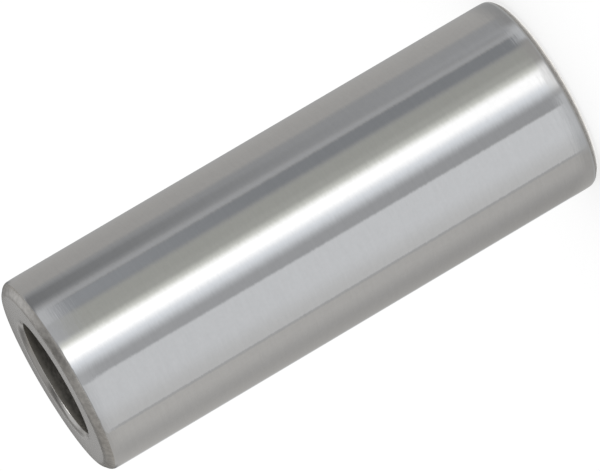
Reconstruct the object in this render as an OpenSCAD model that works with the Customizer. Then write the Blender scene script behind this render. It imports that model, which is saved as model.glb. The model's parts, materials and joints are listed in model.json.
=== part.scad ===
// Gudgeon pin: a hollow steel pin, ground outside, with chamfered ends and a countersunk through bore.
// It is one turned piece. It stands on its end, with its axis on +Z and the base at z = 0.

/* [Pin] */
// Ground outside diameter
pin_d = 23.55; // [20:0.05:30]
// Length over the two end faces
pin_l = 63.5; // [40:0.5:90]

/* [Bore] */
// Diameter of the straight through bore
bore_d = 14; // [8:0.1:15]
// Depth of the countersink at each mouth of the bore, along the axis
mouth_l = 0.5; // [0.35:0.05:1]
// Angle between the countersink and the axis
mouth_angle = 32; // [20:1:45]
// Radius that rounds the countersink into the end face
mouth_edge_r = 0.6; // [0.1:0.05:0.8]
// Radius that breaks the edge between the countersink and the bore
mouth_break_r = 0.2; // [0.05:0.05:0.6]

/* [Ends] */
// Length of the end chamfer along the axis
chamfer_l = 0.75; // [0.6:0.05:1.2]
// Angle between the end chamfer and the axis
chamfer_angle = 50; // [35:1:55]
// Radius that blends the chamfer into the end face
face_blend_r = 1; // [0.1:0.05:1.6]
// Radius that rounds the edge between the chamfer and the ground surface
rim_break_r = 0.9; // [0.05:0.05:1.4]
// Length of the roll-off at each end of the ground surface
roll_off_l = 1.3; // [0.6:0.1:3]
// How far the ground surface has rolled off, in radius, where it meets the rim
roll_off_drop = 0.03; // [0.01:0.005:0.05]

/* [Hidden] */
$fn = 120;
arc_steps = 5;

pin_r = pin_d / 2;
bore_r = bore_d / 2;
half_l = pin_l / 2;
steel = [0.66, 0.66, 0.67];

// Slope of the ground surface where it meets the rim, and the radius of the roll-off
roll_off_slope = 2 * atan(roll_off_drop / roll_off_l);
roll_off_r = roll_off_l / sin(roll_off_slope);

// A point at an angle on a circle, and the points along an arc of it
function on_circle(centre, r, angle) = centre + r * [cos(angle), sin(angle)];
function arc(centre, r, from, to) =
    [for (i = [0:arc_steps]) on_circle(centre, r, from + (to - from) * i / arc_steps)];

// The section of one end, as [radius, height above the middle], from the ground surface in to the bore.
// Each arc runs between the directions that its two neighbours face: 0 is outwards and 90 is along the axis.
rim_tangent = rim_break_r * tan((chamfer_angle - roll_off_slope) / 2);
rim_start = [
    pin_r - roll_off_drop,
    half_l - chamfer_l - rim_tangent * cos(roll_off_slope)
];
rim_corner = rim_start + rim_tangent * [-sin(roll_off_slope), cos(roll_off_slope)];
roll_off_centre = on_circle(rim_start, -roll_off_r, roll_off_slope);
rim_centre = on_circle(rim_start, -rim_break_r, roll_off_slope);
face_corner = rim_corner + chamfer_l * [-tan(chamfer_angle), 1];
face_centre = face_corner - [face_blend_r * tan((90 - chamfer_angle) / 2), face_blend_r];
mouth_faces = 180 - mouth_angle;
mouth_outer_centre = [
    bore_r + mouth_l * tan(mouth_angle) + mouth_edge_r * tan((mouth_faces - 90) / 2),
    half_l - mouth_edge_r
];
mouth_inner_centre = [
    bore_r + mouth_break_r,
    half_l - mouth_l - mouth_break_r * tan(mouth_angle / 2)
];

end_section = concat(
    arc(roll_off_centre, roll_off_r, 0, roll_off_slope),
    arc(rim_centre, rim_break_r, roll_off_slope, chamfer_angle),
    arc(face_centre, face_blend_r, chamfer_angle, 90),
    arc(mouth_outer_centre, mouth_edge_r, 90, mouth_faces),
    arc(mouth_inner_centre, mouth_break_r, mouth_faces, 180)
);

// The same section at the other end, run backwards so that the two join into one outline
function mirrored(points) = [for (i = [len(points) - 1:-1:0]) [points[i][0], -points[i][1]]];

module gudgeon_pin() {
    color(steel)
        translate([0, 0, half_l])
            rotate_extrude()
                polygon(concat(end_section, mirrored(end_section)));
}

gudgeon_pin();
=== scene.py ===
"""Gudgeon pin: a hollow steel pin, ground and polished outside, which stands on a pale studio floor."""

import json
import math
from typing import NamedTuple

import bmesh
import bpy
from bpy.props import FloatProperty, FloatVectorProperty, IntProperty, PointerProperty
from mathutils import Matrix, Vector


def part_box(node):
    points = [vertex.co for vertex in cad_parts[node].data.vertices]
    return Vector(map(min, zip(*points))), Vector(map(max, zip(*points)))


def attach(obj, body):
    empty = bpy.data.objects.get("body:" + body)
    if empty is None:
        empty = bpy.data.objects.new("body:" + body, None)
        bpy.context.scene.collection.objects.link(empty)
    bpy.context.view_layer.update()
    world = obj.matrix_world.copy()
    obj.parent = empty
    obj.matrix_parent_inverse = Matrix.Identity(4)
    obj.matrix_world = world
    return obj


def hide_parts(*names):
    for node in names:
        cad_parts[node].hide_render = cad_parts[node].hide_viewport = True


bl_info = {
    "name": "Gudgeon Pin",
    "version": (1, 0, 0),
    "blender": (4, 5, 0),
    "location": "3D View > Sidebar > Gudgeon Pin",
    "description": "Builds a hollow ground steel pin and the small studio that it stands in",
    "category": "Object",
}

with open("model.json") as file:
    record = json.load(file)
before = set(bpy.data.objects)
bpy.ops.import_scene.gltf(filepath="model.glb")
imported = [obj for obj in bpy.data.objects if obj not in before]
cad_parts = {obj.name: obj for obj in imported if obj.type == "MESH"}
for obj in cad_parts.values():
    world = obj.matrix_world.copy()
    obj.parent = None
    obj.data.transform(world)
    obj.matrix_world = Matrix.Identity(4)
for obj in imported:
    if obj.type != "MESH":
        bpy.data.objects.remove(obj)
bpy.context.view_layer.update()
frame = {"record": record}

# A millimetre in metres, and the solid that the pin replaces
MM = 0.001
NODE = "gudgeon_pin"

# Sizes that the frame gives, in metres
mounts = {mount["name"]: mount["dims"] for mount in frame["record"]["mounts"]}
pin_low, pin_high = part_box(NODE)
PIN_LENGTH = pin_high.z - pin_low.z
PIN_DIAMETER = 2 * mounts["ground_surface"]["r_mm"] * MM
BORE_DIAMETER = 2 * mounts["through_bore"]["r_mm"] * MM

# The picture's width, and where the pin's middle lies from the picture's centre, in pixels
PICTURE_WIDTH = 600
PIN_OFFSET_RIGHT = 0.23
PIN_OFFSET_UP = 1.53

# The camera's sensor, in millimetres
SENSOR_WIDTH = 36


class Signal:
    """A node's output that plain sums can use: each operator adds the Math node that it needs."""

    def __init__(self, graph, node, socket):
        self.graph = graph
        self.node = node
        self.socket = socket

    def out(self, name):
        """Another output of the same node."""
        return Signal(self.graph, self.node, find_socket(self.node.outputs, name))

    def math(self, operation, *terms):
        """A Math node on these terms, which are signals or numbers."""
        return self.graph.add("ShaderNodeMath", {"operation": operation}, dict(enumerate(terms)))

    def __add__(self, other):
        return self.math("ADD", self, other)

    def __radd__(self, other):
        return self.math("ADD", other, self)

    def __sub__(self, other):
        return self.math("SUBTRACT", self, other)

    def __rsub__(self, other):
        return self.math("SUBTRACT", other, self)

    def __mul__(self, other):
        return self.math("MULTIPLY", self, other)

    def __rmul__(self, other):
        return self.math("MULTIPLY", other, self)

    def __truediv__(self, other):
        return self.math("DIVIDE", self, other)

    def __rtruediv__(self, other):
        return self.math("DIVIDE", other, self)

    def __pow__(self, other):
        return self.math("POWER", self, other)

    def __rpow__(self, other):
        return self.math("POWER", other, self)

    def __neg__(self):
        return self.math("MULTIPLY", self, -1)

    def __abs__(self):
        return self.math("ABSOLUTE", self)

    def sin(self):
        return self.math("SINE", self)

    def cos(self):
        return self.math("COSINE", self)

    def tan(self):
        return self.math("TANGENT", self)

    def arctan(self):
        return self.math("ARCTANGENT", self)

    def arcsin(self):
        return self.math("ARCSINE", self)

    def arctan2(self, other):
        return self.math("ARCTAN2", self, other)

    def maximum(self, other):
        return self.math("MAXIMUM", self, other)

    def above(self, other):
        return self.math("GREATER_THAN", self, other)

    def ease(self, low, high):
        """0 below low and 1 above high, with a smooth step between them."""
        settings = {"interpolation_type": "SMOOTHSTEP"}
        sockets = {"Value": self, "From Min": low, "From Max": high}
        return self.graph.add("ShaderNodeMapRange", settings, sockets)


class Graph:
    """A node tree, with the one method that adds its nodes."""

    def __init__(self, tree):
        self.tree = tree

    def add(self, kind, settings=None, sockets=None):
        """Add a node: its settings are set first, then its sockets get their values or links."""
        node = self.tree.nodes.new(kind)
        for name, value in (settings or {}).items():
            setattr(node, name, value)
        for key, value in (sockets or {}).items():
            self.feed(find_socket(node.inputs, key), value)
        shown = [socket for socket in node.outputs if socket.enabled]
        return Signal(self, node, shown[0] if shown else None)

    def feed(self, socket, value):
        """Give a socket a link, several links, a colour or a plain value."""
        if isinstance(value, Signal):
            self.tree.links.new(value.socket, socket)
        elif isinstance(value, list):
            for signal in value:
                self.tree.links.new(signal.socket, socket)
        elif socket.type == "RGBA":
            socket.default_value = (*value[:3], 1)
        else:
            socket.default_value = value

    def vector(self, x, y, z):
        return self.add("ShaderNodeCombineXYZ", None, {"X": x, "Y": y, "Z": z})

    def split(self, vector):
        """The three parts of a vector."""
        parts = self.add("ShaderNodeSeparateXYZ", None, {"Vector": vector})
        return parts.out("X"), parts.out("Y"), parts.out("Z")

    def mix(self, factor, first, second):
        """A colour between two colours."""
        settings = {"data_type": "RGBA"}
        sockets = {"Factor_Float": factor, "A_Color": first, "B_Color": second}
        return self.add("ShaderNodeMix", settings, sockets)

    def noise(self, vector, detail=2.0, roughness=0.5):
        """Noise from 0 to 1 with one swell for each unit of the vector."""
        sockets = {"Vector": vector, "Scale": 1.0, "Detail": detail, "Roughness": roughness}
        return self.add("ShaderNodeTexNoise", None, sockets)


def find_socket(sockets, key):
    """The socket with this number, identifier or name."""
    if isinstance(key, int):
        return sockets[key]
    for socket in sockets:
        if key in (socket.identifier, socket.name) and socket.enabled:
            return socket
    raise KeyError(f"there is no socket called {key}")


class PinSizes(bpy.types.PropertyGroup):
    """The pin's driving sizes."""

    diameter: FloatProperty(
        name="Diameter", description="Ground outside diameter",
        default=PIN_DIAMETER, unit="LENGTH", precision=5,
    )
    length: FloatProperty(
        name="Length", description="Length over the two end faces",
        default=PIN_LENGTH, unit="LENGTH", precision=5,
    )
    bore: FloatProperty(
        name="Bore", description="Diameter of the straight through bore",
        default=BORE_DIAMETER, unit="LENGTH", precision=5,
    )
    mouth_depth: FloatProperty(
        name="Mouth Depth", description="Depth of the countersink at each mouth of the bore",
        default=0.5 * MM, unit="LENGTH", precision=5,
    )
    mouth_angle: FloatProperty(
        name="Mouth Angle", description="Angle between the countersink and the axis",
        default=math.radians(32), subtype="ANGLE",
    )
    mouth_edge: FloatProperty(
        name="Mouth Edge", description="Radius that rounds the countersink into the end face",
        default=0.6 * MM, unit="LENGTH", precision=5,
    )
    mouth_break: FloatProperty(
        name="Mouth Break", description="Radius that breaks the edge between the countersink and the bore",
        default=0.2 * MM, unit="LENGTH", precision=5,
    )
    chamfer_length: FloatProperty(
        name="Chamfer Length", description="Length of the end chamfer along the axis",
        default=0.75 * MM, unit="LENGTH", precision=5,
    )
    chamfer_angle: FloatProperty(
        name="Chamfer Angle", description="Angle between the end chamfer and the axis",
        default=math.radians(50), subtype="ANGLE",
    )
    face_blend: FloatProperty(
        name="Face Blend", description="Radius that blends the chamfer into the end face",
        default=1.0 * MM, unit="LENGTH", precision=5,
    )
    rim_break: FloatProperty(
        name="Rim Break",
        description="Radius that rounds the edge between the chamfer and the ground surface",
        default=0.9 * MM, unit="LENGTH", precision=5,
    )
    roll_off_length: FloatProperty(
        name="Roll-off Length", description="Length of the roll-off at each end of the ground surface",
        default=1.3 * MM, unit="LENGTH", precision=5,
    )
    roll_off_drop: FloatProperty(
        name="Roll-off Drop",
        description="How far the ground surface has rolled off, in radius, where it meets the rim",
        default=0.03 * MM, unit="LENGTH", precision=5,
    )
    nick_depth: FloatProperty(
        name="Nick Depth", description="Depth of the small nicks and tool marks in the chamfers",
        default=0.02 * MM, unit="LENGTH", precision=6,
    )
    segments: IntProperty(
        name="Segments", description="Flats round the pin", default=512, min=64, max=1024,
    )


class PinFinish(bpy.types.PropertyGroup):
    """The colours and the polish of the pin's surfaces."""

    ground_colour: FloatVectorProperty(
        name="Ground Steel", description="Colour of the ground and polished outside",
        default=(0.62, 0.62, 0.62), subtype="COLOR",
    )
    chamfer_colour: FloatVectorProperty(
        name="Chamfer", description="Colour of the rough chamfers",
        default=(0.505, 0.486, 0.458), subtype="COLOR",
    )
    face_colour: FloatVectorProperty(
        name="End Face", description="Colour of the turned end faces",
        default=(0.53, 0.514, 0.492), subtype="COLOR",
    )
    bore_colour: FloatVectorProperty(
        name="Bore", description="Colour of the dull bore",
        default=(0.19, 0.18, 0.162), subtype="COLOR",
    )
    ground_roughness: FloatProperty(
        name="Ground Roughness", description="Roughness of the polished outside",
        default=0.06, min=0, max=1, subtype="FACTOR",
    )


class StudioSettings(bpy.types.PropertyGroup):
    """The camera's place, the floor and the light."""

    elevation: FloatProperty(
        name="Elevation", description="Height of the camera above the pin's middle, as an angle",
        default=math.radians(10.3), subtype="ANGLE",
    )
    roll: FloatProperty(
        name="Roll", description="Turn of the camera about its own line of sight",
        default=math.radians(120.56), subtype="ANGLE",
    )
    distance: FloatProperty(
        name="Distance", description="From the camera to the pin's middle",
        default=0.70, unit="LENGTH",
    )
    pin_radius_pixels: FloatProperty(
        name="Pin Radius", description="Radius of the pin in the picture, in pixels",
        default=107.45, subtype="PIXEL",
    )
    floor_colour: FloatVectorProperty(
        name="Floor", description="Colour of the floor", default=(0.9, 0.9, 0.9), subtype="COLOR",
    )
    ring_radius: FloatProperty(
        name="Light Ring Radius", description="Distance of the light cards from the pin's axis",
        default=0.025, unit="LENGTH",
    )
    ring_height: FloatProperty(
        name="Light Ring Height", description="Height of the light cards above the floor",
        default=0.100, unit="LENGTH",
    )
    overhead: FloatProperty(
        name="Overhead Light", description="Strength of the broad light above the floor", default=0.6,
    )


def group_input(tree, name, value, kind, subtype="NONE"):
    """Give a tree a named input with a default."""
    socket = tree.interface.new_socket(name, in_out="INPUT", socket_type=kind)
    if subtype != "NONE":
        socket.subtype = subtype
    socket.default_value = value


# How many points each stretch of the pin's section has
ARC_POINTS = 7
CHAMFER_POINTS = 9
FACE_POINTS = 5
MOUTH_POINTS = 3

# The pin's surfaces, the attribute that tells them apart, the angle from which an edge is sharp, and the
# distance within which the ends of the stretches are welded
ZONES = ("ground", "chamfer", "face", "mouth", "bore")
ZONE_NAME = "zone"
SHARP_ANGLE = math.radians(25)
WELD = 0.001 * MM


class Section:
    """The pin's section in a Geometry Nodes tree: x is the radius and y the height above the middle."""

    def __init__(self, graph, rail_radius):
        self.graph = graph
        self.rail_radius = rail_radius

    def point(self, radius, height):
        """A point of the section, set in from the rail that the section is swept along."""
        return self.graph.vector(radius - self.rail_radius, height, 0.0)

    def line(self, start, end, points=2):
        """A straight stretch between two (radius, height) places."""
        sockets = {"Start": self.point(*start), "End": self.point(*end)}
        line = self.graph.add("GeometryNodeCurvePrimitiveLine", None, sockets)
        return self.graph.add("GeometryNodeResampleCurve", None, {"Curve": line, "Count": points})

    def arc(self, centre, radius, start, end):
        """A round stretch between two directions: 0 is outwards and a quarter turn is along the axis."""
        sockets = {
            "Resolution": ARC_POINTS, "Radius": radius, "Start Angle": start, "Sweep Angle": end - start,
        }
        arc = self.graph.add("GeometryNodeCurveArc", None, sockets)
        return self.graph.add(
            "GeometryNodeTransform", None, {"Geometry": arc, "Translation": self.point(*centre)}
        )

    def mirrored(self, curve):
        """The same stretch at the other end, run backwards so that its faces look outwards too."""
        turned = self.graph.add("GeometryNodeTransform", None, {"Geometry": curve, "Scale": (1, -1, 1)})
        return self.graph.add("GeometryNodeReverseCurve", None, {"Curve": turned})


def on_circle(centre, radius, direction):
    """The place in a direction on a circle of the section."""
    return centre[0] + radius * direction.cos(), centre[1] + radius * direction.sin()


def pin_zones(section, sizes):
    """The section's stretches by zone: those at one end, and those that run from end to end."""
    radius = sizes["Diameter"] / 2
    half = sizes["Length"] / 2
    bore_radius = sizes["Bore"] / 2
    chamfer = sizes["Chamfer Angle"]
    chamfer_length = sizes["Chamfer Length"]
    slope = 2 * (sizes["Roll-off Drop"] / sizes["Roll-off Length"]).arctan()
    roll_off = sizes["Roll-off Length"] / slope.sin()
    rim_break = sizes["Rim Break"]
    blend = sizes["Face Blend"]

    rim_tangent = rim_break * ((chamfer - slope) / 2).tan()
    rim_radius = radius - sizes["Roll-off Drop"]
    rim_height = half - chamfer_length - rim_tangent * slope.cos()
    roll_off_centre = (rim_radius - roll_off * slope.cos(), rim_height - roll_off * slope.sin())
    rim_centre = (rim_radius - rim_break * slope.cos(), rim_height - rim_break * slope.sin())
    corner_radius = rim_radius - rim_tangent * slope.sin() - chamfer_length * chamfer.tan()
    quarter = math.pi / 2
    face_centre = (corner_radius - blend * ((quarter - chamfer) / 2).tan(), half - blend)
    mouth_edge = sizes["Mouth Edge"]
    mouth_break = sizes["Mouth Break"]
    mouth_faces = math.pi - sizes["Mouth Angle"]
    mouth_radius = bore_radius + sizes["Mouth Depth"] * sizes["Mouth Angle"].tan()
    outer_edge = (mouth_radius + mouth_edge * ((mouth_faces - quarter) / 2).tan(), half - mouth_edge)
    inner_tangent = mouth_break * (sizes["Mouth Angle"] / 2).tan()
    inner_break = (bore_radius + mouth_break, half - sizes["Mouth Depth"] - inner_tangent)

    chamfer_start = on_circle(rim_centre, rim_break, chamfer)
    chamfer_end = on_circle(face_centre, blend, chamfer)
    polish_end = (slope + chamfer) / 2
    mouth_start = on_circle(outer_edge, mouth_edge, mouth_faces)
    mouth_end = on_circle(inner_break, mouth_break, mouth_faces)
    at_each_end = {
        "ground": [
            section.arc(roll_off_centre, roll_off, 0.0, slope),
            section.arc(rim_centre, rim_break, slope, polish_end),
        ],
        "chamfer": [
            section.arc(rim_centre, rim_break, polish_end, chamfer),
            section.line(chamfer_start, chamfer_end, CHAMFER_POINTS),
            section.arc(face_centre, blend, chamfer, quarter),
        ],
        "face": [
            section.line((face_centre[0], half), (outer_edge[0], half), FACE_POINTS),
            section.arc(outer_edge, mouth_edge, quarter, mouth_faces),
        ],
        "mouth": [
            section.line(mouth_start, mouth_end, MOUTH_POINTS),
            section.arc(inner_break, mouth_break, mouth_faces, math.pi),
        ],
        "bore": [],
    }
    cylinder_end = roll_off_centre[1]
    bore_end = inner_break[1]
    end_to_end = {
        "ground": [section.line((radius, -cylinder_end), (radius, cylinder_end))],
        "bore": [section.line((bore_radius, bore_end), (bore_radius, -bore_end))],
    }
    return at_each_end, end_to_end


# The nicks in the chamfers: how far apart they lie, how fine they are, the level of noise above which there
# is a nick and how fast it deepens there, and how wide they fade out at the chamfer's edges
NICK_PITCH = 0.8 * MM
NICK_DETAIL = 3.0
NICK_GRAIN = 0.6
NICK_THRESHOLD = 0.52
NICK_GAIN = 4.0
NICK_FADE = 0.2 * MM


def nicked(graph, pin, size):
    """Small hollows in the chamfers. They only go inwards, so the pin stays within its sizes."""
    place = graph.add("GeometryNodeInputPosition")
    x, y, z = graph.split(place)
    radius = (x * x + y * y) ** 0.5
    from_end = size["Length"] / 2 - abs(z - size["Length"] / 2)
    length = size["Chamfer Length"]
    inner = size["Diameter"] / 2 - length * size["Chamfer Angle"].tan()
    on_chamfer = radius.ease(inner - NICK_FADE, inner) * (1 - from_end.ease(length, length + NICK_FADE))
    vector = graph.vector(x / NICK_PITCH, y / NICK_PITCH, z / NICK_PITCH)
    noise = graph.noise(vector, NICK_DETAIL, NICK_GRAIN)
    hollow = (noise - NICK_THRESHOLD).maximum(0.0) * NICK_GAIN
    normal = graph.add("GeometryNodeInputNormal")
    inwards = -(hollow * on_chamfer * size["Nick Depth"])
    offset = graph.add("ShaderNodeVectorMath", {"operation": "SCALE"}, {"Vector": normal, "Scale": inwards})
    return graph.add("GeometryNodeSetPosition", None, {"Geometry": pin, "Offset": offset})


# The sweep lays the section's height downwards, so the pin is turned over
TURNED_OVER = (math.pi, 0, 0)


def pin_tree(sizes, materials):
    """The Geometry Nodes tree that turns the pin's section about its axis."""
    tree = bpy.data.node_groups.new("pin_lathe", "GeometryNodeTree")
    tree.interface.new_socket("Pin", in_out="OUTPUT", socket_type="NodeSocketGeometry")
    for name, value, subtype in sizes:
        kind = "NodeSocketInt" if isinstance(value, int) else "NodeSocketFloat"
        group_input(tree, name, value, kind, subtype)
    graph = Graph(tree)
    inputs = graph.add("NodeGroupInput")
    size = {name: inputs.out(name) for name, _, _ in sizes}

    rail_radius = size["Bore"] / 2
    rail = graph.add(
        "GeometryNodeCurvePrimitiveCircle", None, {"Resolution": size["Segments"], "Radius": rail_radius}
    )
    section = Section(graph, rail_radius)
    at_each_end, end_to_end = pin_zones(section, size)
    swept = []
    for index, zone in enumerate(ZONES):
        stretches = at_each_end[zone]
        stretches = stretches + [section.mirrored(curve) for curve in stretches] + end_to_end.get(zone, [])
        joined = graph.add("GeometryNodeJoinGeometry", None, {"Geometry": stretches})
        wall = graph.add("GeometryNodeCurveToMesh", None, {"Curve": rail, "Profile Curve": joined})
        swept.append(graph.add(
            "GeometryNodeStoreNamedAttribute", {"data_type": "INT", "domain": "FACE"},
            {"Geometry": wall, "Name": ZONE_NAME, "Value": index},
        ))
    pin = graph.add("GeometryNodeJoinGeometry", None, {"Geometry": swept})
    pin = graph.add("GeometryNodeMergeByDistance", None, {"Geometry": pin, "Distance": WELD})
    lift = graph.vector(0.0, 0.0, size["Length"] / 2)
    pin = graph.add(
        "GeometryNodeTransform", None, {"Geometry": pin, "Translation": lift, "Rotation": TURNED_OVER}
    )
    pin = nicked(graph, pin, size)
    edge_angle = graph.add("GeometryNodeInputMeshEdgeAngle").out("Unsigned Angle")
    pin = graph.add(
        "GeometryNodeSetShadeSmooth", {"domain": "FACE"}, {"Geometry": pin, "Shade Smooth": True}
    )
    pin = graph.add(
        "GeometryNodeSetShadeSmooth", {"domain": "EDGE"},
        {"Geometry": pin, "Selection": edge_angle.above(SHARP_ANGLE), "Shade Smooth": False},
    )
    zone_of_face = graph.add("GeometryNodeInputNamedAttribute", {"data_type": "INT"}, {"Name": ZONE_NAME})
    pin = graph.add("GeometryNodeRealizeInstances", None, {"Geometry": pin})
    for index, zone in enumerate(ZONES):
        here = graph.add(
            "FunctionNodeCompare", {"data_type": "INT", "operation": "EQUAL"},
            {"A": zone_of_face, "B": index},
        )
        pin = graph.add(
            "GeometryNodeSetMaterial", None,
            {"Geometry": pin, "Selection": here, "Material": materials[zone]},
        )
    graph.add("NodeGroupOutput", None, {"Pin": pin})
    return tree


def new_material(name):
    """An empty material and its graph."""
    material = bpy.data.materials.new(name)
    material.use_nodes = True
    material.node_tree.nodes.clear()
    return material, Graph(material.node_tree)


def finish_steel(graph, colour, roughness, height):
    """End a material in bare metal with this colour, roughness and height of its marks, in metres."""
    bump = graph.add("ShaderNodeBump", None, {"Strength": 1.0, "Distance": 1.0, "Height": height})
    metal = graph.add(
        "ShaderNodeBsdfPrincipled", None,
        {"Base Color": colour, "Metallic": 1.0, "Roughness": roughness, "Normal": bump},
    )
    graph.add("ShaderNodeOutputMaterial", None, {"Surface": metal})


def pin_place(graph):
    """A surface point's x, y and z on the pin, in metres, and its distance from the axis."""
    place = graph.add("ShaderNodeTexCoord").out("Object")
    x, y, z = graph.split(place)
    return x, y, z, (x * x + y * y) ** 0.5


def shaded(colour, share):
    """A colour made lighter or darker by a share."""
    return tuple(channel * share for channel in colour)


class Marks(NamedTuple):
    """The marks in a steel: how fine their noise is, the shares of the colour in their dark and light
    places, the least roughness and how much they add to it, and their height in metres."""

    detail: float
    grain: float
    dark: float
    light: float
    roughness: float
    uneven: float
    height: float


CHAMFER_MARKS = Marks(4.0, 0.65, 0.86, 1.16, 0.32, 0.16, 0.01 * MM)
FACE_MARKS = Marks(2.0, 0.5, 0.92, 1.08, 0.22, 0.1, 0.002 * MM)
MOUTH_MARKS = Marks(3.0, 0.5, 0.85, 1.1, 0.18, 0.1, 0.004 * MM)
BORE_MARKS = Marks(4.0, 0.65, 0.75, 1.25, 0.4, 0.15, 0.012 * MM)

# The levels of noise between which a mottled colour goes from dark to light
MOTTLE_DARK = 0.3
MOTTLE_LIGHT = 0.7


def mottled(graph, colour, marks, level):
    """A colour that goes from its dark share to its light share with a level."""
    return graph.mix(level, shaded(colour, marks.dark), shaded(colour, marks.light))


def ground_material(finish):
    """Ground and polished steel: fine lines run round the pin, and the polish is a little uneven."""
    material, graph = new_material("ground_steel")
    x, y, z, _ = pin_place(graph)
    line_pitch = 0.4 * MM
    line_swell = 3 * MM
    line_height = 0.018 * MM
    line_roughness = 0.05
    line_share = 0.6
    speckle_pitch = 0.5 * MM
    speckle_roughness = 0.03
    dark_share = 0.93
    light_share = 1.07
    middle = 0.5
    along = graph.vector(x / line_swell, y / line_swell, z / line_pitch)
    lines = graph.noise(along, detail=3.0, roughness=0.6)
    speckle = graph.noise(graph.vector(x / speckle_pitch, y / speckle_pitch, z / speckle_pitch))
    uneven = line_roughness * (lines - middle) + speckle_roughness * (speckle - middle)
    tone = line_share * lines + (1 - line_share) * speckle
    colour = graph.mix(
        tone, shaded(finish.ground_colour, dark_share), shaded(finish.ground_colour, light_share)
    )
    finish_steel(graph, colour, finish.ground_roughness + uneven, lines * line_height)
    return material


def chamfer_material(finish):
    """Rough chamfers: dull, mottled and darker than the ground steel."""
    material, graph = new_material("chamfer_steel")
    marks = CHAMFER_MARKS
    x, y, z, _ = pin_place(graph)
    pitch = 0.6 * MM
    mottle = graph.noise(graph.vector(x / pitch, y / pitch, z / pitch), marks.detail, marks.grain)
    colour = mottled(graph, finish.chamfer_colour, marks, mottle.ease(MOTTLE_DARK, MOTTLE_LIGHT))
    finish_steel(graph, colour, marks.roughness + marks.uneven * mottle, mottle * marks.height)
    return material


def face_material(finish):
    """Turned end faces: fine rings about the axis."""
    material, graph = new_material("turned_steel")
    marks = FACE_MARKS
    x, y, _, radius = pin_place(graph)
    pitch = 0.12 * MM
    swell = 8 * MM
    rings = graph.noise(graph.vector(radius / pitch, x / swell, y / swell), marks.detail, marks.grain)
    colour = mottled(graph, finish.face_colour, marks, rings)
    finish_steel(graph, colour, marks.roughness + marks.uneven * rings, rings * marks.height)
    return material


def mouth_material(finish):
    """The countersinks: smoother than the end faces, with small marks."""
    material, graph = new_material("countersink_steel")
    marks = MOUTH_MARKS
    x, y, z, _ = pin_place(graph)
    pitch = 0.5 * MM
    spots = graph.noise(graph.vector(x / pitch, y / pitch, z / pitch), marks.detail, marks.grain)
    colour = mottled(graph, finish.face_colour, marks, spots)
    finish_steel(graph, colour, marks.roughness + marks.uneven * spots, spots * marks.height)
    return material


# How far from the end face the bore's colour is painted lighter, as painted light falling in at its mouths,
# and how much lighter it is there
PAINTED_GLOW_FULL = 0.5 * MM
PAINTED_GLOW_NONE = 1.3 * MM
PAINTED_GLOW_SHARE = 2.0


def bore_material(finish):
    """The bore: dull and dark, with marks that run round it, and painted light that makes it lighter just
    inside its mouths.
    """
    material, graph = new_material("bored_steel")
    marks = BORE_MARKS
    x, y, z, _ = pin_place(graph)
    pitch = 0.3 * MM
    swell = 0.6 * MM
    scores = graph.noise(graph.vector(x / swell, y / swell, z / pitch), marks.detail, marks.grain)
    colour = mottled(graph, finish.bore_colour, marks, scores.ease(MOTTLE_DARK, MOTTLE_LIGHT))
    from_end = PIN_LENGTH / 2 - abs(z - PIN_LENGTH / 2)
    # Painted light: the bore's colour is lighter near each mouth, where light falls in from the end face
    painted_glow = 1 - from_end.ease(PAINTED_GLOW_FULL, PAINTED_GLOW_NONE)
    colour = graph.mix(painted_glow, colour, shaded(finish.bore_colour, PAINTED_GLOW_SHARE))
    finish_steel(graph, colour, marks.roughness + marks.uneven * scores, scores * marks.height)
    return material


# The subtype that a tree's input has for each unit of a size
INPUT_SUBTYPES = {"LENGTH": "DISTANCE", "ROTATION": "ANGLE", "NONE": "NONE"}


def tree_inputs(sizes):
    """The sizes as inputs for a tree: each one's name, value and subtype."""
    properties = [sizes.bl_rna.properties[key] for key in PinSizes.__annotations__]
    return [(each.name, getattr(sizes, each.identifier), INPUT_SUBTYPES[each.unit]) for each in properties]


def run_tree(context, target, tree, inputs):
    """Evaluate a tree on an object with these inputs, and leave the result as the object's plain mesh."""
    modifier = target.modifiers.new("shape", "NODES")
    modifier.node_group = tree
    sockets = [item for item in tree.interface.items_tree if item.in_out == "INPUT"]
    identifiers = {socket.name: socket.identifier for socket in sockets}
    for name, value, _ in inputs:
        modifier[identifiers[name]] = value
    evaluated = target.evaluated_get(context.evaluated_depsgraph_get())
    mesh = bpy.data.meshes.new_from_object(evaluated)
    target.modifiers.remove(modifier)
    mesh.name = target.name
    target.data = mesh
    if not mesh.polygons:
        raise RuntimeError(f"the tree {tree.name} made no faces")


class GUDGEON_OT_build_pin(bpy.types.Operator):
    """Turn the pin from its section, finish its surfaces and set it in place of the plain solid"""

    bl_idname = "gudgeon.build_pin"
    bl_label = "Build Pin"

    def execute(self, context):
        finish = context.scene.gudgeon_finish
        materials = {
            "ground": ground_material(finish),
            "chamfer": chamfer_material(finish),
            "face": face_material(finish),
            "mouth": mouth_material(finish),
            "bore": bore_material(finish),
        }
        inputs = tree_inputs(context.scene.gudgeon_sizes)
        pin = bpy.data.objects.new("ground_pin", bpy.data.meshes.new("ground_pin"))
        context.scene.collection.objects.link(pin)
        run_tree(context, pin, pin_tree(inputs, materials), inputs)
        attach(pin, "root")
        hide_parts(NODE)
        return {"FINISHED"}


class LightCard(NamedTuple):
    """One upright card of the light ring. Its edges are angles round the pin from the camera's side, in
    degrees, and each has its own blur. Its brightness goes from low, at the floor, to high, at the pin's
    top. Its start edge may lean, by so many degrees from the pin's top to the floor. Foot and top are
    heights, in pin lengths, with a fade at each. A card without them runs over the whole wall."""

    start: float
    end: float
    start_blur: float
    end_blur: float
    low: float
    high: float
    tint: tuple
    lean: float = 0.0
    foot: float | None = None
    top: float | None = None
    end_fade: float = 0.05


# The tints of the light
NEUTRAL = (1.0, 1.0, 1.0)
COOL = (0.985, 1.0, 1.025)
BLUE = (0.965, 1.0, 1.05)
WARM = (1.02, 1.0, 0.97)
OLIVE = (1.0, 1.01, 0.945)

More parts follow.
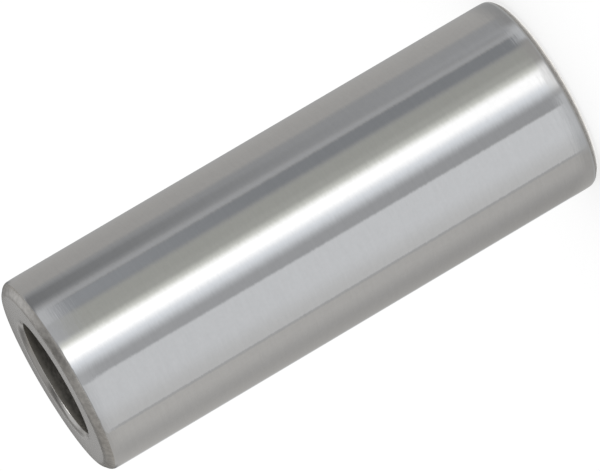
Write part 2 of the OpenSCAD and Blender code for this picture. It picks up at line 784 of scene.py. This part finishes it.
# The ring's bare wall and the cards on it, in the order that they cover each other
WALL = 0.42
WALL_CARDS = {
    "left wall": LightCard(-130, -84, 40, 10, 0.50, 0.465, WARM),
    "left shade": LightCard(-84, -62, 10, 4, 0.43, 0.37, COOL),
    "left wedge": LightCard(-80, -65, 8, 7, 0.47, 0.25, COOL, lean=10),
    "light line": LightCard(-61, -56, 6, 4, 0.50, 0.51, COOL),
    "dark flag": LightCard(-55, -42, 3, 8, 0.31, 0.335, BLUE),
    "dark flag top": LightCard(-55, -42, 3, 8, 0.405, 0.405, BLUE, foot=0.72, end_fade=0.5),
    "left fill": LightCard(-41, -20, 7, 5, 0.46, 0.49, OLIVE),
    "left fill edge": LightCard(-29, -20, 6, 5, 0.53, 0.50, OLIVE),
    "grey strip": LightCard(4, 17, 8, 2, 0.455, 0.515, COOL),
    "right fill": LightCard(15.4, 64, 2.5, 3, 0.85, 0.82, COOL, lean=2.4),
    "right fill edge": LightCard(50, 64, 24, 3, 0.72, 0.71, NEUTRAL),
    "right gap": LightCard(64.5, 67, 1, 1, 0.52, 0.55, NEUTRAL),
    "right wall": LightCard(67, 95, 1, 40, 0.57, 0.62, WARM),
    "right back": LightCard(95, 150, 40, 40, 0.42, 0.52, WARM),
    "upper left glow": LightCard(-58, -40, 6, 8, 0.66, 0.66, COOL, foot=0.925, end_fade=0.08),
    "upper left fill": LightCard(-41, -20, 6, 5, 0.56, 0.56, COOL, foot=0.925, end_fade=0.08),
    "upper grey": LightCard(4, 17, 8, 2, 0.58, 0.58, COOL, foot=0.93),
    "upper right fill": LightCard(17, 67, 3, 2, 0.73, 0.73, COOL, foot=0.96),
    "upper right edge": LightCard(50, 67, 20, 2, 0.63, 0.63, NEUTRAL, foot=0.96),
    "upper right wall": LightCard(67, 120, 1, 40, 0.53, 0.53, WARM, foot=0.96, end_fade=0.08),
    "back fill": LightCard(140, 163, 10, 6, 0.78, 0.78, COOL, top=0.94),
    "back flag": LightCard(-176, -158, 4, 8, 0.33, 0.36, BLUE, top=0.94),
    "back key left": LightCard(166, 270, 8, 1, 1.55, 1.65, NEUTRAL, top=0.94),
    "back key right": LightCard(-270, -177, 1, 6, 1.55, 1.65, NEUTRAL, top=0.94),
    "back shade left": LightCard(130, 190, 20, 1, 0.20, 0.20, NEUTRAL, foot=0.95),
    "back shade right": LightCard(-190, -130, 1, 20, 0.20, 0.20, NEUTRAL, foot=0.95),
    "upper back left": LightCard(150, 190, 14, 1, 0.73, 0.73, NEUTRAL, foot=1.055, end_fade=0.02),
    "upper back right": LightCard(-190, -150, 1, 14, 0.67, 0.67, NEUTRAL, foot=1.055, end_fade=0.02),
    "key left spill": LightCard(-20.9, -8, 9, 4, 1.02, 1.10, OLIVE),
    "key right spill": LightCard(-10, 3.8, 4, 11.5, 1.08, 1.10, BLUE),
    "key strip": LightCard(-16.7, -4.5, 6.6, 9, 1.60, 1.78, NEUTRAL),
}

# What the floor inside the ring shows close to the pin
FOOT_WALL = 0.38
FOOT_CARDS = {
    "left glow": LightCard(-66, -46, 14, 8, 0.68, 0.68, COOL),
    "left fill": LightCard(-45, -20, 8, 8, 0.44, 0.44, WARM),
    "right glow": LightCard(8, 66, 8, 20, 0.68, 0.68, COOL),
    "right glow edge": LightCard(48, 66, 20, 20, 0.58, 0.58, COOL),
    "right wall": LightCard(66, 150, 20, 40, 0.47, 0.47, WARM),
    "key": LightCard(-20.5, 4, 9, 12, 1.05, 1.05, NEUTRAL),
}

# From the axis outwards, the floor shows a glow under the pin's rim, a shade round it, the cards above and
# the wall's cards. The radii are those between which each one fades into the next.
RIM_GLOW = 1.8
RIM_GLOW_FULL = 10.9 * MM
RIM_GLOW_NONE = 11.2 * MM
RIM_SHADE = 0.50
RIM_SHADE_FULL = 12 * MM
RIM_SHADE_NONE = 13.5 * MM
FOOT_FULL = 14 * MM
FOOT_NONE = 24 * MM

# The wall above the pin, and the heights, in pin lengths, between which it takes over
UPPER_WALL = 0.44
UPPER_CARDS = {
    "left": LightCard(-140, -80, 20, 20, 0.80, 0.80, COOL),
    "right": LightCard(75, 120, 20, 10, 0.48, 0.48, WARM),
    "back dark right": LightCard(
        167.5, 176, 10, 10, 0.26, 0.26, NEUTRAL, lean=157, foot=1.10, top=1.45, end_fade=0.06
    ),
    "back dark left": LightCard(-176, -160, 6, 6, 0.27, 0.27, NEUTRAL, foot=1.14, top=1.40, end_fade=0.08),
    "edge light": LightCard(10, 48, 12, 12, 1.0, 1.0, NEUTRAL, foot=1.22, top=1.32),
}
UPPER_START = 1.08
UPPER_FULL = 1.16

# The roof has a dark strip across it, between these places along x. The wall counts as roof where it is
# closer to it than the margin.
ROOF_LIGHT = 0.47
ROOF_DARK = 0.16
STRIP_START = 2.5 * MM
STRIP_START_BLUR = 4 * MM
STRIP_END = 18.5 * MM
STRIP_END_BLUR = 6 * MM
ROOF_MARGIN = 1 * MM

# Below this height, in pin lengths, what lies near the axis is the ring's floor, and above it the roof
FLOOR_LIMIT = 0.5


def past(value, edge, blur):
    """0 before an edge and 1 past it, with a blur across it."""
    return value.ease(edge - blur / 2, edge + blur / 2)


def painted(graph, wall, cards, angle, height):
    """The glow of a wall with these cards on it."""
    glow = shaded(NEUTRAL, wall)
    for card in cards.values():
        upright = angle - card.lean * (1 - height) if card.lean else angle
        covers = past(upright, card.start, card.start_blur) * (1 - past(angle, card.end, card.end_blur))
        if card.foot is not None:
            covers = covers * past(height, card.foot, card.end_fade)
        if card.top is not None:
            covers = covers * (1 - past(height, card.top, card.end_fade))
        colour = graph.mix(height, shaded(card.tint, card.low), shaded(card.tint, card.high))
        glow = graph.mix(covers, glow, colour)
    return glow


MIRROR_STEPS = 4


def wall_angle(angle, radius, ring_radius):
    """Where a spot of the ring's floor would lie on its wall, if the pin mirrored both to the camera.

    A ray that meets the pin's side at an angle from the camera's side goes out at twice that angle. The
    steps find the angle on the pin for the spot, and the ray from there is followed out to the wall."""
    pin_radius = PIN_DIAMETER / 2
    on_pin = angle / 2
    for _ in range(MIRROR_STEPS):
        on_pin = (angle + (on_pin.sin() * pin_radius / radius).arcsin()) / 2
    return 2 * on_pin - (on_pin.sin() * (pin_radius / ring_radius)).arcsin()


def ring_material(studio):
    """The light ring's glow: a grey wall with soft-edged cards on it, the floor at its foot, and a roof."""
    material, graph = new_material("light_ring")
    x, y, z, radius = pin_place(graph)
    angle = wall_angle((-x).arctan2(-y), radius, studio.ring_radius) * math.degrees(1)
    height = z / PIN_LENGTH
    wall = painted(graph, WALL, WALL_CARDS, angle, height)
    foot = painted(graph, FOOT_WALL, FOOT_CARDS, angle, height)
    under_rim = graph.mix(
        radius.ease(RIM_GLOW_FULL, RIM_GLOW_NONE), shaded(NEUTRAL, RIM_GLOW), shaded(NEUTRAL, RIM_SHADE)
    )
    foot = graph.mix(radius.ease(RIM_SHADE_FULL, RIM_SHADE_NONE), under_rim, foot)
    upper = painted(graph, UPPER_WALL, UPPER_CARDS, angle, height)
    in_strip = past(x, STRIP_START, STRIP_START_BLUR) * (1 - past(x, STRIP_END, STRIP_END_BLUR))
    roof = graph.mix(in_strip, shaded(NEUTRAL, ROOF_LIGHT), shaded(NEUTRAL, ROOF_DARK))
    on_roof = z.above(studio.ring_height - ROOF_MARGIN)
    near_foot = (1 - radius.ease(FOOT_FULL, FOOT_NONE)) * (1 - height.above(FLOOR_LIMIT))
    glow = graph.mix(near_foot, wall, foot)
    glow = graph.mix(height.ease(UPPER_START, UPPER_FULL), glow, upper)
    glow = graph.mix(on_roof, glow, roof)
    emission = graph.add("ShaderNodeEmission", None, {"Color": glow, "Strength": 1.0})
    graph.add("ShaderNodeOutputMaterial", None, {"Surface": emission})
    return material


def stage_object(context, name, shape, material):
    """Make a stage object from a bmesh."""
    mesh = bpy.data.meshes.new(name)
    shape.to_mesh(mesh)
    shape.free()
    mesh.materials.append(material)
    made = bpy.data.objects.new(name, mesh)
    context.scene.collection.objects.link(made)
    return made


# The flats round the light ring, how far its floor lies over the studio's floor, and how far that floor
# reaches in under the pin's rim
RING_SEGMENTS = 128
FOOT_GAP = 0.02 * MM
FOOT_TUCK = 1 * MM


def add_light_ring(context, studio):
    """The ring of light cards, which only the pin's reflections see."""
    radius = studio.ring_radius
    top = studio.ring_height
    section = [(PIN_DIAMETER / 2 - FOOT_TUCK, FOOT_GAP), (radius, FOOT_GAP), (radius, top), (0, top)]
    shape = bmesh.new()
    corners = [shape.verts.new((across, 0, up)) for across, up in section]
    edges = [shape.edges.new(pair) for pair in zip(corners, corners[1:])]
    bmesh.ops.spin(
        shape, geom=corners + edges, cent=(0, 0, 0), axis=(0, 0, 1), angle=2 * math.pi,
        steps=RING_SEGMENTS, use_merge=True,
    )
    bmesh.ops.remove_doubles(shape, verts=shape.verts, dist=FOOT_GAP)
    ring = stage_object(context, "light_ring", shape, ring_material(studio))
    ring.visible_camera = False
    ring.visible_diffuse = False
    ring.visible_transmission = False
    ring.visible_shadow = False


# Half the floor's side, in metres, and the share of plain white in it for the camera and reflections
FLOOR_HALF = 3.0
FLOOR_OWN_WHITE = 0.7


def floor_material(studio):
    """A pale floor that keeps a soft shadow and looks white to the camera and in reflections."""
    material, graph = new_material("pale_floor")
    paint = graph.add("ShaderNodeBsdfDiffuse", None, {"Color": studio.floor_colour})
    white = graph.add("ShaderNodeEmission", None, {"Color": NEUTRAL, "Strength": 1.0})
    path = graph.add("ShaderNodeLightPath")
    mirrored = path.out("Is Glossy Ray").maximum(path.out("Is Transmission Ray"))
    seen = path.out("Is Camera Ray").maximum(mirrored)
    surface = graph.add("ShaderNodeMixShader", None, {0: seen * FLOOR_OWN_WHITE, 1: paint, 2: white})
    graph.add("ShaderNodeOutputMaterial", None, {"Surface": surface})
    return material


def add_floor(context, studio):
    """The floor that the pin stands on."""
    shape = bmesh.new()
    bmesh.ops.create_grid(shape, x_segments=1, y_segments=1, size=FLOOR_HALF)
    stage_object(context, "pale_floor", shape, floor_material(studio))


def add_world(context):
    """White surroundings at a plain level."""
    world = bpy.data.worlds.new("white_studio")
    world.use_nodes = True
    world.node_tree.nodes.clear()
    graph = Graph(world.node_tree)
    background = graph.add("ShaderNodeBackground", None, {"Color": NEUTRAL, "Strength": 1.0})
    graph.add("ShaderNodeOutputWorld", None, {"Surface": background})
    world.cycles.sampling_method = "NONE"
    context.scene.world = world


# How wide the overhead light is, as seen from the floor
OVERHEAD_SPREAD = math.radians(120)


def add_overhead_light(context, studio):
    """A broad light over the floor. The pin's reflections don't see it."""
    lamp = bpy.data.lights.new("overhead", "SUN")
    lamp.energy = studio.overhead
    lamp.angle = OVERHEAD_SPREAD
    light = bpy.data.objects.new("overhead", lamp)
    light.visible_glossy = False
    context.scene.collection.objects.link(light)


# The glint's lamp: where it stands and what it faces, its side, its spread and its power in watts
GLINT_PLACE = Vector((10.2, -0.6, 70.8)) * MM
GLINT_TARGET = Vector((-3.2, 6.25, 63.0)) * MM
GLINT_SIZE = 5 * MM
GLINT_SPREAD = math.radians(50)
GLINT_POWER = 0.000024


def add_glint(context):
    """A small lamp close over the end face, which puts a glint on the edge of the bore."""
    lamp = bpy.data.lights.new("glint", "AREA")
    lamp.size = GLINT_SIZE
    lamp.energy = GLINT_POWER
    lamp.spread = GLINT_SPREAD
    light = bpy.data.objects.new("glint", lamp)
    turn = (GLINT_TARGET - GLINT_PLACE).to_track_quat("-Z", "Y").to_matrix().to_4x4()
    light.matrix_world = Matrix.Translation(GLINT_PLACE) @ turn
    light.visible_diffuse = False
    context.scene.collection.objects.link(light)


def add_camera(context, studio):
    """A long lens that looks at the pin's middle, turned about its line of sight."""
    lens = bpy.data.cameras.new("camera")
    lens.sensor_width = SENSOR_WIDTH
    pixels_per_metre = studio.pin_radius_pixels / (PIN_DIAMETER / 2)
    lens.lens = SENSOR_WIDTH * pixels_per_metre * studio.distance / PICTURE_WIDTH
    lens.shift_x = -PIN_OFFSET_RIGHT / PICTURE_WIDTH
    lens.shift_y = -PIN_OFFSET_UP / PICTURE_WIDTH
    backwards = Vector((0, -math.cos(studio.elevation), math.sin(studio.elevation)))
    level = Vector((1, 0, 0))
    upright = backwards.cross(level)
    right = math.cos(studio.roll) * level - math.sin(studio.roll) * upright
    up = math.sin(studio.roll) * level + math.cos(studio.roll) * upright
    camera = bpy.data.objects.new("camera", lens)
    turn = Matrix((right, up, backwards)).transposed().to_4x4()
    middle = Vector((0, 0, PIN_LENGTH / 2))
    camera.matrix_world = Matrix.Translation(middle + studio.distance * backwards) @ turn
    context.scene.collection.objects.link(camera)
    context.scene.camera = camera


class GUDGEON_OT_build_stage(bpy.types.Operator):
    """Set up the floor, the light cards, the light and the camera"""

    bl_idname = "gudgeon.build_stage"
    bl_label = "Build Stage"

    def execute(self, context):
        studio = context.scene.gudgeon_studio
        add_camera(context, studio)
        add_floor(context, studio)
        add_light_ring(context, studio)
        add_world(context)
        add_overhead_light(context, studio)
        add_glint(context)
        context.scene.view_settings.view_transform = "Standard"
        return {"FINISHED"}


class GUDGEON_PT_panel(bpy.types.Panel):
    """The pin's sizes, finish and stage"""

    bl_idname = "GUDGEON_PT_panel"
    bl_label = "Gudgeon Pin"
    bl_space_type = "VIEW_3D"
    bl_region_type = "UI"
    bl_category = "Gudgeon Pin"

    def draw(self, context):
        scene = context.scene
        for group in (scene.gudgeon_sizes, scene.gudgeon_finish, scene.gudgeon_studio):
            box = self.layout.box()
            for name in group.__annotations__:
                box.prop(group, name)
        self.layout.operator(GUDGEON_OT_build_pin.bl_idname)
        self.layout.operator(GUDGEON_OT_build_stage.bl_idname)


CLASSES = (
    PinSizes,
    PinFinish,
    StudioSettings,
    GUDGEON_OT_build_pin,
    GUDGEON_OT_build_stage,
    GUDGEON_PT_panel,
)


def register():
    for each in CLASSES:
        bpy.utils.register_class(each)
    bpy.types.Scene.gudgeon_sizes = PointerProperty(type=PinSizes)
    bpy.types.Scene.gudgeon_finish = PointerProperty(type=PinFinish)
    bpy.types.Scene.gudgeon_studio = PointerProperty(type=StudioSettings)


def unregister():
    del bpy.types.Scene.gudgeon_studio
    del bpy.types.Scene.gudgeon_finish
    del bpy.types.Scene.gudgeon_sizes
    for each in reversed(CLASSES):
        bpy.utils.unregister_class(each)


def main():
    register()
    bpy.ops.gudgeon.build_pin()
    bpy.ops.gudgeon.build_stage()


if __name__ == "__main__":
    main()
